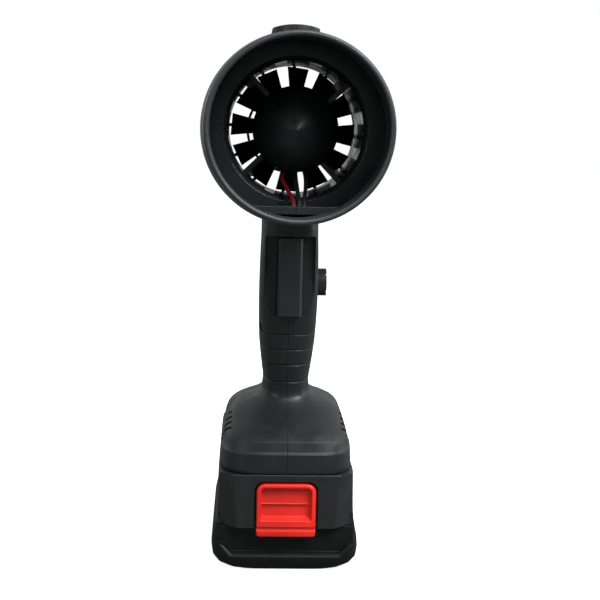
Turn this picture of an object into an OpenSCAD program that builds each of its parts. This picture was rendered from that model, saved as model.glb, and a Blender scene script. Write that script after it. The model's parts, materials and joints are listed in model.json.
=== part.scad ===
// Cordless turbo blower for drying cars: a ducted fan in a barrel on a pistol grip, standing on its battery pack.
// Units are millimetres. +Z is up, air leaves towards -Y, and the origin is at the middle of the base.

/* [Barrel] */
// Height of the duct's axis above the base
axis_z = 223; // [218:1:230]
// Plane of the nozzle's lip
lip_y = -87; // [-92:1:-82]
// Outer radius of the nozzle's lip
lip_r = 42; // [41.6:0.2:42.6]
// Outer radius of the barrel
barrel_r = 45; // [44.6:0.2:46]
// Width of the pad on top of the barrel
pad_w = 25; // [16:1:30]

/* [Fan] */
// Inner radius of the fan's duct
duct_r = 32; // [31.6:0.2:32.4]
// Radius of the motor pod and of the rotor's hub
pod_r = 20.4; // [20:0.1:20.6]
// Number of rotor blades
blades = 12; // [8:1:14]
// Number of stator vanes
vanes = 4; // [3:1:6]

/* [Grip and foot] */
// Wall of the two housing shells
wall = 2.4; // [2:0.1:2.6]
// Width of the trigger
trigger_w = 12.4; // [11:0.2:13]
// Radius of the lock button's cap
lock_r = 7.2; // [6.4:0.2:7.4]

/* [Battery] */
// Height of the battery's top face
pack_top = 50.6; // [50:0.2:51]
// Width of the release latch
latch_w = 31.6; // [28:0.4:32]
// Radius of one cell in its sleeve
cell_r = 9.1; // [9:0.05:9.15]

/* [Hidden] */

$fn = 72;
big = 400;

plastic = "#1b1f20";
soft_black = "#141718";
latch_red = "#c8281f";
steel = "#b9bcc0";
copper = "#b5652c";
brass = "#c9a44a";

// ---- helpers ----

// Places things that are drawn along +Z on the duct's axis, running towards +Y from y.
module on_axis(y = 0) translate([0, y, axis_z]) rotate([-90, 0, 0]) children();

// Turns children to a clock angle seen from the front, 0 at the top.
module clock(angle) translate([0, 0, axis_z]) rotate([0, angle, 0]) translate([0, 0, -axis_z]) children();

// A ring along the duct's axis.
module axis_ring(y, length, outer, inner) on_axis(y) difference() {
    cylinder(h = length, r = outer);
    translate([0, 0, -1]) cylinder(h = length + 2, r = inner);
}

module axis_rod(y, length, r) on_axis(y) cylinder(h = length, r = r);

// A rod along +X, centred on x.
module cross_rod(x, y, z, length, r) translate([x - length / 2, y, z]) rotate([0, 90, 0]) cylinder(h = length, r = r);

// A box given by its lowest and highest corners.
module span(low, high) translate(low) cube(high - low);

// Joins its children into one skin; a resize by nothing changes no size.
module one_mesh() resize([0, 0, 0]) children();

// A closed skin over rings that hold the same number of points, each anticlockwise seen from its end.
module loft(rings) {
    n = len(rings[0]);
    m = len(rings);
    sides = [for (j = [0:m - 2], i = [0:n - 1]) let (a = j * n + i, b = j * n + (i + 1) % n)
        each [[a, a + n, b + n], [a, b + n, b]]];
    polyhedron(
        points = [for (ring = rings) each ring],
        faces = concat([[for (i = [0:n - 1]) i]], sides, [[for (i = [n - 1:-1:0]) (m - 1) * n + i]]));
}

function sgn_pow(v, p) = sign(v) * pow(abs(v), p);

// One level ring of a superellipse: [height, half width, front, rear, exponent], grown by grow.
function level_ring(s, grow, n) = let (b = (s[3] - s[2]) / 2 + grow, c = (s[3] + s[2]) / 2)
    [for (i = [0:n - 1]) let (t = 360 * i / n)
        [(s[1] + grow) * sgn_pow(cos(t), 2 / s[4]), c + b * sgn_pow(sin(t), 2 / s[4]), s[0]]];

module level_loft(sections, grow = 0, n = 44) loft([for (s = sections) level_ring(s, grow, n)]);

function unit(v) = v / norm(v);

// A round wire along points, with rings square to its run.
module wire(points, r, n = 8) {
    last = len(points) - 1;
    loft([for (k = [0:last]) let (
        t = unit(points[min(k + 1, last)] - points[max(k - 1, 0)]),
        side = unit(cross(abs(t.x) > 0.9 ? [0, 1, 0] : [1, 0, 0], t)),
        up = cross(t, side))
        [for (i = [0:n - 1]) points[k] + r * (cos(360 * i / n) * side + sin(360 * i / n) * up)]]);
}

// Points of a smooth curve through a few hand-chosen ones (Catmull-Rom).
function spline(p, steps) = let (last = len(p) - 1) concat(
    [for (k = [0:last - 1], s = [0:steps - 1]) let (
        a = p[max(k - 1, 0)], b = p[k], c = p[k + 1], d = p[min(k + 2, last)], u = s / steps)
        0.5 * ((2 * b) + (c - a) * u + (2 * a - 5 * b + 4 * c - d) * u * u + (3 * b - a - 3 * c + d) * u * u * u)],
    [p[last]]);

// A compression spring along +Z from the origin.
module coil_spring(length, r, wire_r, turns) wire(
    [for (k = [0:turns * 9]) [r * cos(40 * k), r * sin(40 * k), wire_r + (length - 2 * wire_r) * k / (turns * 9)]],
    wire_r, 5);

// ---- housing shells ----

// Levels of grip and foot: [height, half width, front, rear, exponent]
foot_bottom = pack_top + 0.3;
foot_levels = [
    [foot_bottom, 34.4, -26.8, 82, 5.2],
    [57, 34.2, -27.2, 82.4, 5.2],
    [61.2, 33.9, -27.3, 82.2, 5.2],
    [62.2, 33.1, -26.2, 81.4, 5.2],
    [67, 32.2, -25, 79.4, 5],
    [69.5, 31.5, -21.8, 76.5, 4.8],
    [72, 30.6, -17.6, 71.5, 4.4],
    [75.5, 29, -11, 62, 3.8],
    [79, 26.2, -5.4, 53.5, 3.2],
    [81.6, 22.2, -1.6, 48, 2.8],
    [83.4, 17.4, 0.4, 45.8, 2.6],
    [84.8, 14.2, 0.9, 45.2, 2.6],
    [86.4, 12.8, 1.1, 44.9, 2.7]];
grip_levels = [
    [92, 12.2, 0.4, 43.6, 2.7],
    [98, 12.9, -1, 42.4, 2.7],
    [106, 13.9, -2.8, 40.8, 2.7],
    [116, 14.8, -5, 38.6, 2.7],
    [126, 15.1, -7.6, 36.6, 2.7],
    [138, 15.2, -10, 34.8, 2.8],
    [150, 15.1, -12, 33.8, 2.9],
    [162, 14.8, -13.6, 33.6, 3],
    [172, 14.5, -14.6, 35, 3.2],
    [178, 14.5, -16, 38, 3.4],
    [187, 15, -20, 44, 3.6]];
grip_body = concat(foot_levels, grip_levels);

barrel_front = -70;
barrel_back = 46;
mouth_r = lip_r - 2;
sleeve_r = lip_r - 0.8;
barrel_in = barrel_r - wall;
// Half outline of the barrel, as [radius, y]
barrel_outline = [[0, barrel_front], [lip_r + 1.3, barrel_front], [barrel_r - 0.6, -54], [barrel_r, -42],
    [barrel_r, 32], [barrel_r - 0.8, barrel_back], [0, barrel_back]];
barrel_bore = [[0, barrel_front - 1], [sleeve_r + 0.1, barrel_front - 1], [sleeve_r + 0.1, -61.8],
    [barrel_in, -57], [barrel_in, barrel_back + 1], [0, barrel_back + 1]];

// The nozzle's floor, a shelf with room for wires under it
floor_front = -61.5;
floor_back = -45.3;
floor_top = axis_z - 35.2;
floor_under = axis_z - 38.8;
pad_r = 49.5;

shroud_r = duct_r + 2;
grille_screw_angles = [45, 135, 225, 315];

// Places of the screws that close the shells: [y, z, how far out from the middle the head sits]
shell_screw_places = [[4, 121, 9.5], [19, 172, 9], [2, 60, 24], [74, 60, 24], [36, 97, 7],
    [-20, axis_z + 45.2, 7], [20, axis_z + 45.2, 7]];

module revolve_y(outline) on_axis(0) rotate_extrude($fn = 84) polygon(outline);

// A pad with round ends over the barrel's crown.
module crown_pad() intersection() {
    on_axis(-40) cylinder(h = 80, r = pad_r, $fn = 96);
    translate([0, 0, axis_z + 30]) linear_extrude(30) hull() for (s = [-1, 1])
        translate([0, s * 20]) scale([1, 0.8]) circle(r = pad_w / 2, $fn = 48);
}

module outer_skin() {
    level_loft(grip_body);
    revolve_y(barrel_outline);
    crown_pad();
}

recess_floor = -7.2;
recess_half = 13.5;
recess_low = 128.4;
recess_high = 170;

// The finger recess round the trigger, a U with round bottom corners.
module finger_recess() translate([0, recess_floor, 0]) rotate([90, 0, 0]) linear_extrude(30) hull() {
    translate([-recess_half, recess_high - 5]) square([2 * recess_half, 5]);
    for (s = [-1, 1]) translate([s * (recess_half - 8), recess_low + 8]) circle(r = 8, $fn = 32);
}

module cavity() {
    difference() {
        level_loft(grip_body, -wall, 36);
        // The foot's floor, and the wall behind the finger recess
        span([-big, -big, 0], [big, big, foot_bottom + wall]);
        span([-30, -60, recess_low - 3], [30, recess_floor + wall, recess_high + 3]);
        // A web under the barrel's front half, where the grip is not open to it
        span([-40, -60, 175], [40, -12, 200]);
    }
    revolve_y(barrel_bore);
}

// Half rings that hold the fan shroud, and the floor of the nozzle with the space for the wires below it.
module inner_ribs() difference() {
    union() {
        for (y = [-42.8, 6]) axis_ring(y, 2.2, barrel_in + 0.6, shroud_r + 0.1);
        intersection() {
            span([-40, floor_front, floor_under], [40, floor_back, floor_top]);
            axis_rod(floor_front, 20, barrel_in + 0.6);
        }
        // Bosses for the grille's screws
        for (a = grille_screw_angles) clock(a) translate([0, 0, 39.4]) axis_rod(34, 11.8, 3.4, $fn = 24);
    }
    // Passage for the wires under the shroud, and their hole in the floor
    span([-8, -44, axis_z - 60], [8, 30, axis_z - shroud_r - 0.4]);
    translate([1.6, -54.7, floor_under - 1]) scale([1.6, 1, 1]) cylinder(h = 6, r = 2.6, $fn = 24);
    for (a = grille_screw_angles) clock(a) translate([0, 0, 39.4]) axis_rod(33, 20, 1.4, $fn = 16);
}

// Pillars round the shell screws, from skin to skin.
module screw_pillars() for (p = shell_screw_places) cross_rod(0, p[0], p[1], 120, 3.5, $fn = 24);

module screw_holes() for (p = shell_screw_places) {
    cross_rod(0, p[0], p[1], 2 * p[2] - 0.4, 1.6, $fn = 16);
    // Head and driver pocket, on the right shell only
    cross_rod(-p[2] - 20 + 0.2, p[0], p[1], 40, 3.1, $fn = 24);
}

board_under = 59;
board_post_places = [for (x = [-19, 19], y = [18, 57]) [x, y]];

// Posts that hold the control board in the foot.
module board_posts() for (p = board_post_places)
    translate([p.x, p.y, foot_bottom + 1]) cylinder(h = board_under - foot_bottom - 1, r = 2.2, $fn = 20);

lock_y = 12.4;
lock_z = 144.2;

vent_low = 66.5;
vent_pitch = 4;
vent_count = 5;

// Slanted slots on the foot's shoulders, rising towards the front.
module shoulder_grooves() for (s = [-1, 1], k = [0:vent_count - 1]) intersection() {
    difference() {
        span([s * 36.3 - 8, -18, 50], [s * 36.3 + 8, 26, 96]);
        level_loft(grip_body, -0.9);
    }
    translate([s * 38.3, -1, vent_low + k * vent_pitch]) rotate([-25, 0, 0]) cube([20, 29, 1.3], center = true);
}

grip_groove_heights = [118.6, 110.4, 102.1, 92.7];

// Level grooves round the front of the grip.
module grip_grooves() for (z = grip_groove_heights) intersection() {
    difference() {
        level_loft([[z - 0.5, 30, -30, 60, 3], [z + 0.5, 30, -30, 60, 3]]);
        level_loft(grip_body, -0.55);
    }
    span([-30, -30, z - 1], [30, 22, z + 1]);
}

rail_front = -12;
rail_back = 70;

// Hooks on the foot's underside that hold the battery, one each side.
module battery_rail(s) {
    x0 = min(s * 27.5, s * 30);
    x1 = max(s * 27.5, s * 30);
    span([x0, rail_front, 44], [x1, rail_back, foot_bottom + 1]);
    span([min(s * 24.2, s * 30), rail_front, 44], [max(s * 24.2, s * 30), rail_back, 47.2]);
}

module housing() one_mesh() difference() {
    union() {
        difference() {
            outer_skin();
            cavity();
        }
        intersection() {
            union() {
                screw_pillars();
                inner_ribs();
                board_posts();
            }
            outer_skin();
        }
        for (s = [-1, 1]) battery_rail(s);
    }
    finger_recess();
    // Slot for the trigger
    span([-trigger_w / 2 - 0.3, -60, recess_low + 0.6], [trigger_w / 2 + 0.3, 0, recess_high - 0.6]);
    // Hole for the lock button
    cross_rod(20, lock_y, lock_z, 20, lock_r + 0.3, $fn = 40);
    // Window for the terminal block, and a groove over the latch's tongue
    span([-16.4, 29.6, 40], [16.4, 62.4, foot_bottom + wall + 1]);
    span([-5.6, -40, foot_bottom - 1], [5.6, -14, foot_bottom + 1.7]);
    screw_holes();
    shoulder_grooves();
    grip_grooves();
}

module left_shell() color(plastic) one_mesh() intersection() {
    housing();
    span([0, -big, 0], [big, big, big]);
}

module right_shell() color(plastic) one_mesh() intersection() {
    housing();
    span([-big, -big, 0], [0, big, big]);
}

// ---- nozzle, grille and duct ----

module nozzle_collar() color(soft_black) on_axis(0) rotate_extrude($fn = 96) polygon([
    [mouth_r + 0.8, lip_y], [lip_r - 0.6, lip_y], [lip_r, lip_y + 0.6], [lip_r + 1.2, barrel_front - 0.2],
    [sleeve_r, barrel_front - 0.2], [sleeve_r, -62], [mouth_r, -62], [mouth_r, lip_y + 0.8]]);

grille_front = barrel_back + 0.2;
grille_back = 57;

module intake_grille() color(plastic) difference() {
    union() {
        on_axis(0) rotate_extrude($fn = 96) polygon([[barrel_r - 4.6, grille_front],
            [barrel_r - 0.8, grille_front], [barrel_r - 2.4, 54], [barrel_r - 5, grille_back],
            [barrel_r - 9.4, grille_back], [barrel_r - 9.4, 52.2], [barrel_r - 4.6, 50]]);
        for (r = [9, 15.8, 22.6]) axis_ring(grille_back - 4, 3, r + 0.7, r - 0.7);
        for (k = [0:11]) clock(k * 30 + 4) span([-0.9, grille_back - 4, axis_z + 4.4],
            [0.9, grille_back - 0.6, axis_z + barrel_r - 6]);
        axis_rod(grille_back - 5, 4.6, 5.4);
        for (a = grille_screw_angles) clock(a) translate([0, 0, 39.4]) axis_rod(grille_front, 7.8, 3.4, $fn = 24);
    }
    for (a = grille_screw_angles) clock(a) translate([0, 0, 39.4]) {
        axis_rod(grille_front - 1, 20, 1.7, $fn = 20);
        axis_rod(52, 10, 3, $fn = 24);
    }
}

pod_front = -38;
pod_back = -7.4;
pod_wall = 1.6;
fan_front = -6;
fan_back = 9;
bell_mouth = 20;

// The duct tube with its front flange, flared inlet, stator vanes and motor pod.
module fan_shroud() color(plastic) difference() {
    union() {
        on_axis(0) rotate_extrude($fn = 96) polygon([
            [duct_r + 2, -45], [barrel_in - 0.7, -45], [barrel_in - 0.7, -43], [shroud_r, -43], [shroud_r, 8],
            [duct_r + 4.4, 14], [duct_r + 8.4, 18.4], [duct_r + 8.4, bell_mouth], [duct_r + 6.4, bell_mouth],
            [duct_r + 2.6, 15.4], [duct_r + 0.6, 11.4], [duct_r, 8], [duct_r, -41], [duct_r + 0.6, -43.6]]);
        axis_ring(pod_front, pod_back - pod_front, pod_r, pod_r - pod_wall);
        axis_ring(pod_back - 1.6, 1.6, pod_r - 0.5, 5.6);
        for (k = [0:vanes - 1]) clock(46 + k * 360 / vanes) translate([0, -23, axis_z + (pod_r + duct_r) / 2])
            rotate([0, 0, 8]) cube([2.4, 22, duct_r - pod_r + 1.6], center = true);
    }
    // Notch in the flange for the wires below the floor
    span([-8, -46, axis_z - 60], [8, -42.5, axis_z - 38.4]);
    // Screw holes for the motor, and the wires' way out
    for (k = [0:3]) clock(45 + k * 90) translate([0, 0, 11.6]) axis_rod(pod_back - 3, 6, 1.3, $fn = 16);
    translate([-6.6, pod_front - 1, axis_z - pod_r - 1]) cube([13.2, 5.6, 6.4]);
}

module tail_cone() color(soft_black) difference() {
    on_axis(0) rotate_extrude($fn = 72) polygon(concat(
        [[pod_r - pod_wall - 1.2, -35.2], [pod_r - pod_wall - 0.05, -35.2], [pod_r - pod_wall - 0.05, pod_front],
            [pod_r, pod_front]],
        [for (k = [1:12]) [pod_r * (1 - pow(k / 12, 1.8)), pod_front - 20.5 * k / 12]],
        [for (k = [12:-1:0]) [(pod_r - 2.8) * (1 - pow(k / 12, 1.8)), pod_front - 18.5 * k / 12]]));
    translate([-6.6, pod_front - 2.2, axis_z - pod_r - 1]) cube([13.2, 8, 7]);
}

// ---- motor ----

shaft_r = 2;
bearing_r = 4;
plate_y = pod_back - 1.65;

module motor_base() color("#8d9195") difference() {
    union() {
        axis_rod(plate_y - 2.4, 2.4, pod_r - pod_wall - 0.4);
        axis_rod(-31, 31 + plate_y - 1, bearing_r + 1.2);
    }
    axis_rod(-40, 40, bearing_r, $fn = 48);
    for (k = [0:3]) clock(45 + k * 90) translate([0, 0, 11.6]) axis_rod(plate_y - 3, 6, 1.3, $fn = 16);
    for (k = [0:2]) clock(180 + (k - 1) * 24) translate([0, 0, 13.8]) axis_rod(plate_y - 3, 6, 1.3, $fn = 16);
}

stator_front = -28;
stator_back = -16;
stator_r = 10.9;
tooth_count = 12;

module stator_core() color(steel) difference() {
    union() {
        axis_rod(stator_front, stator_back - stator_front, 7);
        for (k = [0:tooth_count - 1]) clock(k * 30) {
            span([-0.8, stator_front, axis_z + 6.6], [0.8, stator_back, axis_z + stator_r - 0.9]);
            intersection() {
                span([-2.2, stator_front, axis_z + stator_r - 1.4], [2.2, stator_back, axis_z + 12]);
                axis_rod(stator_front, stator_back - stator_front, stator_r);
            }
        }
    }
    axis_rod(-40, 40, bearing_r + 1.22, $fn = 48);
}

module motor_windings() color(copper) for (k = [0:tooth_count - 1]) clock(k * 30) difference() {
    span([-1.45, stator_front - 1.2, axis_z + 7.1], [1.45, stator_back + 1.2, axis_z + 9.4]);
    span([-0.85, stator_front - 0.05, axis_z + 6], [0.85, stator_back + 0.05, axis_z + 11]);
}

module bearing(y) color(steel) axis_ring(y, 3.6, bearing_r, shaft_r + 0.03, $fn = 48);
module front_bearing() bearing(-31);
module rear_bearing() bearing(plate_y - 4);

module motor_screws() color(steel) for (k = [0:3]) clock(45 + k * 90) translate([0, 0, 11.6]) {
    axis_rod(plate_y - 4, 5.4, 1.25, $fn = 16);
    axis_rod(plate_y - 4, 1.6, 2.2, $fn = 24);
}

bell_r = 14.4;

module motor_bell() color("#3a3e42") difference() {
    union() {
        axis_ring(-34.4, 21, bell_r, bell_r - 1.1);
        axis_rod(-34.4, 1.6, bell_r - 0.5);
        axis_rod(-34.4, 3, 4.4);
    }
    axis_rod(-40, 30, shaft_r, $fn = 48);
    for (k = [0:5]) clock(k * 60) translate([0, 0, 8.4]) axis_rod(-36, 4, 2.3, $fn = 24);
}

module rotor_magnets() color("#84888c") for (k = [0:13]) clock(k * 360 / 14) intersection() {
    axis_ring(stator_front - 0.5, 13, bell_r - 1.12, bell_r - 2.7);
    span([-2.6, -40, axis_z + 5], [2.6, 0, axis_z + 20]);
}

module motor_shaft() color(steel) axis_rod(-34.8, 50.8, shaft_r, $fn = 48);

module shaft_collar() color(brass) axis_ring(plate_y + 0.35, fan_front + 0.6 - plate_y - 0.4, 3.4, shaft_r, $fn = 48);

// ---- fan ----

blade_tip = duct_r - 1.1;

// One blade's sections from root to tip: [radius, half depth along the axis, half width across it]
blade_sections = [[pod_r - 1, 5.8, 3.6], [23.5, 5.8, 4.2], [27.5, 5.6, 4.9], [blade_tip, 5.2, 5.5]];
// Half a foil's outline as [along the chord, off it], in half chords
foil = [[-1, 0], [-0.5, 0.1], [0, 0.16], [0.5, 0.11], [1, 0.03], [0.5, -0.05], [0, -0.03], [-0.5, -0.05]];

module fan_blade() loft([for (s = blade_sections) let (chord = norm([s[1], s[2]]), lean = atan2(s[2], s[1]))
    [for (p = foil) let (c = p.x * chord, t = p.y * chord)
        [c * sin(lean) + t * cos(lean), 1.5 + c * cos(lean) - t * sin(lean), s[0]]]]);

module fan_rotor() color("#202426") difference() {
    union() {
        on_axis(0) rotate_extrude($fn = 72) polygon([[0, -4], [5.4, -4], [5.4, -1.2], [pod_r - 2.2, -1.2],
            [pod_r - 2.2, fan_front + 0.6], [pod_r - 0.8, fan_front + 0.6], [pod_r - 0.2, fan_front + 1.2],
            [pod_r - 0.2, fan_back], [pod_r - 2.2, fan_back], [pod_r - 2.2, 1.2], [5.4, 1.2], [5.4, 6], [0, 6]]);
        for (k = [0:blades - 1]) clock(4 + k * 360 / blades) translate([0, 0, axis_z]) fan_blade();
    }
    axis_rod(-10, 30, shaft_r, $fn = 48);
    for (k = [0:5]) clock(k * 60) translate([0, 0, 10.6]) axis_rod(-3, 6, 2.6, $fn = 24);
}

module rotor_nut() color(steel) difference() {
    axis_rod(6.05, 3.4, 4.2, $fn = 6);
    axis_rod(5, 10, shaft_r, $fn = 48);
}

module spinner() color(soft_black) on_axis(0) rotate_extrude($fn = 72) polygon(concat(
    [[pod_r - 3.4, 6], [pod_r - 2.25, 6], [pod_r - 2.25, fan_back + 0.05], [pod_r - 0.2, fan_back + 0.05]],
    [for (k = [1:9]) [(pod_r - 0.2) * cos(k * 10), fan_back + 11 * sin(k * 10)]],
    [for (k = [9:-1:0]) [(pod_r - 1.8) * cos(k * 10), fan_back + 9.4 * sin(k * 10)]],
    [[pod_r - 3.4, fan_back]]));

// ---- wires ----

board_top = board_under + 1.6;
// Each motor wire's way from the pod's notch through the floor, down the grip and to the board
function motor_run(pod_end, x, foot_x) = concat(pod_end, [
    [x, -55, axis_z - 37.2], [x, -52.6, axis_z - 40.4], [x, -44, axis_z - 40.6], [x, -20, axis_z - 40],
    [x, 0, axis_z - 41.4], [x, 18, 180], [x, 27, 176], [x, 28.8, 164], [x, 28.8, 134], [x, 28.6, 108],
    [x, 26, 88], [foot_x, 23.6, 73], [foot_x, 22, board_top + 1.4]]);
red_run = motor_run([[-3, -34.8, axis_z - 15.8], [-4.8, -36.6, axis_z - 19.8], [-6.2, -40, axis_z - 23.2],
    [-3.6, -47, axis_z - 28.2], [-1.2, -53.4, axis_z - 32.8]], -0.8, -2);
blue_run = motor_run([[0.2, -34.8, axis_z - 16], [0.4, -36.8, axis_z - 20], [0.6, -40.4, axis_z - 23.6],
    [1.2, -47.4, axis_z - 29], [1.6, -53.6, axis_z - 33.2]], 1.6, 1.6);
black_run = motor_run([[3.4, -34.8, axis_z - 15.8], [4.6, -36.8, axis_z - 19.8], [5.2, -40.4, axis_z - 23.4],
    [4.8, -47.4, axis_z - 29], [4, -53.6, axis_z - 33.2]], 4, 5.2);
wire_r = 1.05;

module motor_wire_red() color("#b3261e") wire(spline(red_run, 3), wire_r, 6);
module motor_wire_black() color("#191a1c") wire(spline(black_run, 3), wire_r, 6);
module motor_wire_blue() color("#1d2a3c") wire(spline(blue_run, 3), wire_r, 6);

module supply_wire(side, tint) color(tint) wire(spline([[side * 12, 26.4, 54.8], [side * 12.4, 22, 55],
    [side * 13.2, 17, 56], [side * 12.8, 11.4, 58.4], [side * 12, 10.2, 61], [side * 11, 11.6, 63.8],
    [side * 10.6, 14.8, 64.8], [side * 10.5, 17.4, 63.2], [side * 10.5, 18, board_top + 0.05]], 3), 1.3, 7);
module supply_wire_red() supply_wire(-1, "#b3261e");
module supply_wire_black() supply_wire(1, "#191a1c");

// ---- controls ----

switch_front = 8;
switch_low = 133;
switch_high = 165;
trigger_mid = (recess_low + recess_high) / 2;

module trigger() color(plastic) {
    difference() {
        union() {
            span([-trigger_w / 2, -14, recess_low + 1], [trigger_w / 2, -3.4, recess_high - 1]);
            span([-8, -4.4, recess_low + 8], [8, -2, recess_high - 6]);
            translate([0, 0, trigger_mid]) rotate([-90, 0, 0]) translate([0, 0, -3]) cylinder(h = 18, r = 2.6);
        }
        // Rounded front corners, and a hollow back
        for (s = [-1, 1]) translate([s * trigger_w / 2, -14, trigger_mid]) rotate([0, 0, 45])
            cube([1.8, 1.8, 60], center = true);
        for (z = [recess_low + 3.2, trigger_mid + 6]) span([-trigger_w / 2 + 1.8, -12, z],
            [trigger_w / 2 - 1.8, 0, z + recess_high - trigger_mid - 9.6]);
    }
}

module trigger_spring() color(steel) translate([0, -1.8, trigger_mid]) rotate([-90, 0, 0])
    coil_spring(switch_front + 1.6, 4, 0.4, 6);

module switch_body() color("#23282b") difference() {
    span([-7, switch_front, switch_low], [7, 26, switch_high]);
    translate([0, switch_front - 1, trigger_mid]) rotate([-90, 0, 0]) cylinder(h = 14, r = 2.7);
    for (s = [-1, 1]) span([min(s * 5.8, s * 8), 12, switch_low + 4], [max(s * 5.8, s * 8), 22, switch_low + 7]);
}

module switch_terminals() color(brass) for (x = [-4, 0, 4])
    span([x - 0.8, 18, switch_low - 5], [x + 0.8, 19, switch_low]);

lock_face = 19.8;

module lock_button() color("#5d6468") difference() {
    union() {
        cross_rod((9.8 + lock_face) / 2, lock_y, lock_z, lock_face - 9.8, lock_r, $fn = 48);
        cross_rod(10.7, lock_y, lock_z, 1.8, lock_r + 1.2, $fn = 48);
    }
    cross_rod(12, lock_y, lock_z, 11.6, lock_r - 1.8, $fn = 40);
    for (k = [-2:2]) span([lock_face - 0.5, lock_y - 6, lock_z + k * 2.2 - 0.4],
        [lock_face + 1, lock_y + 6, lock_z + k * 2.2 + 0.4]);
}

module lock_spring() color(steel) translate([7.1, lock_y, lock_z]) rotate([0, 90, 0]) coil_spring(10.5, 3.6, 0.4, 6);

// ---- electronics in the foot ----

module control_board() color("#1f4d33") difference() {
    span([-22, 14, board_under], [22, 61, board_top]);
    for (p = board_post_places) translate([p.x, p.y, board_under - 1]) cylinder(h = 4, r = 1.1, $fn = 16);
}

module power_transistors() color("#2a2d2f") for (x = [-13, -4, 5], y = [40, 50])
    span([x - 3.4, y - 3, board_top + 0.02], [x + 3.4, y + 4, board_top + 2.4]);

module smoothing_capacitor() color("#283a5a") translate([10.5, 34, board_top + 5.1]) rotate([0, 90, 0]) {
    cylinder(h = 11, r = 5, $fn = 40);
}

module heat_sink() color("#a7acb0") {
    span([-18, 36, board_top + 2.6], [10, 56, board_top + 4]);
    for (k = [0:6]) span([-18, 36 + k * 3.1, board_top + 3.9], [10, 37.4 + k * 3.1, board_top + 9]);
}

module terminal_block() color("#30363a") {
    span([-16, 30, 43], [16, 62, foot_bottom + 2.6]);
    span([-16.5, 26.5, foot_bottom + wall + 0.05], [16.5, 65.5, foot_bottom + wall + 1.6]);
}

blade_places = [-10.5, -3.5, 3.5, 10.5];

module terminal_blades() color(brass) for (x = blade_places) {
    span([x - 0.4, 20, 45], [x + 0.4, 30, 49]);
}

// ---- screws of the housing ----

module shell_screws() color(steel) for (p = shell_screw_places) difference() {
    union() {
        cross_rod(-p[2] - 0.8, p[0], p[1], 2, 2.9, $fn = 28);
        cross_rod(-0.3, p[0], p[1], 2 * p[2] - 1, 1.55, $fn = 20);
    }
    cross_rod(-p[2] - 1.8, p[0], p[1], 2, 1.2, $fn = 6);
}

module grille_screws() color(steel) for (a = grille_screw_angles) clock(a) translate([0, 0, 39.4]) difference() {
    union() {
        axis_rod(52, 1.9, 2.8, $fn = 28);
        axis_rod(37, 16, 1.35, $fn = 20);
    }
    axis_rod(53, 2, 1.2, $fn = 6);
}

// ---- battery ----

pack_parting = 22.8;
pack_wall = 1.8;
// Levels of the battery: [height, half width, front, rear, exponent]
pack_levels = [
    [0, 28.5, -22.6, 82.6, 7],
    [1.2, 31.6, -24.6, 84.6, 8],
    [3.6, 35.2, -26.2, 86.2, 10],
    [7, 37.3, -27, 87, 12],
    [11, 37.9, -27, 87, 12],
    [15, 37.6, -27, 87, 12],
    [19, 36.8, -27, 87, 12],
    [pack_parting, 36.1, -27, 87, 12],
    [29, 35.3, -27, 87, 12],
    [38, 35, -27, 87, 12],
    [pack_top - 1.4, 34.7, -27, 87, 12],
    [pack_top, 33.6, -25.8, 85.8, 12]];

deck_under = 41;
channel_under = 43.2;
pocket_y = -21.9;

module pack_solid(low, high) intersection() {
    level_loft(pack_levels, 0, 52);
    span([-60, -60, low], [60, 120, high]);
}

module pack_hollow() intersection() {
    level_loft(pack_levels, -pack_wall, 44);
    span([-60, -60, pack_wall], [60, 120, deck_under]);
}

// Channels for the foot's rails, the terminal pocket and its four blade slots, all open to the rear.
module pack_top_cuts() {
    for (s = [-1, 1]) {
        span([min(s * 23.5, s * 30.7), rail_front - 0.6, channel_under], [max(s * 23.5, s * 30.7), 100, 47.9]);
        span([min(s * 26.8, s * 30.7), rail_front - 0.6, channel_under], [max(s * 26.8, s * 30.7), 100, 60]);
    }
    span([-16.8, 29.4, 42.6], [16.8, 100, 60]);
    for (x = blade_places) span([x - 1.4, 15, 43.6], [x + 1.4, 30, 60]);
}

module latch_pocket() {
    span([-latch_w / 2 - 0.5, -60, pack_parting - 1], [latch_w / 2 + 0.5, pocket_y, 45.9]);
    span([-5.4, -24.8, 40], [5.4, pocket_y, 60]);
}

lug_low = 34;

module battery_upper_case() color(plastic) one_mesh() difference() {
    union() {
        difference() {
            pack_solid(pack_parting + 0.02, pack_top);
            pack_hollow();
        }
        intersection() {
            pack_solid(pack_parting + 0.02, pack_top);
            union() {
                // Wall behind the latch, shelf for its spring, bosses for the screws
                span([-24, pocket_y, pack_parting], [24, pocket_y + 1.8, 46]);
                span([-5, pocket_y, pack_parting], [5, -11.4, pack_parting + 1.6]);
                for (s = [-1, 1]) translate([s * 28.4, -17.5, pack_parting]) cylinder(h = 22, r = 3.2, $fn = 24);
            }
        }
    }
    pack_top_cuts();
    latch_pocket();
    span([-6.4, -24, 29.4], [6.4, -20, 37]);
    for (s = [-1, 1]) translate([s * 28.4, -17.5, pack_parting - 1]) cylinder(h = 12, r = 1.3, $fn = 16);
}

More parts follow.
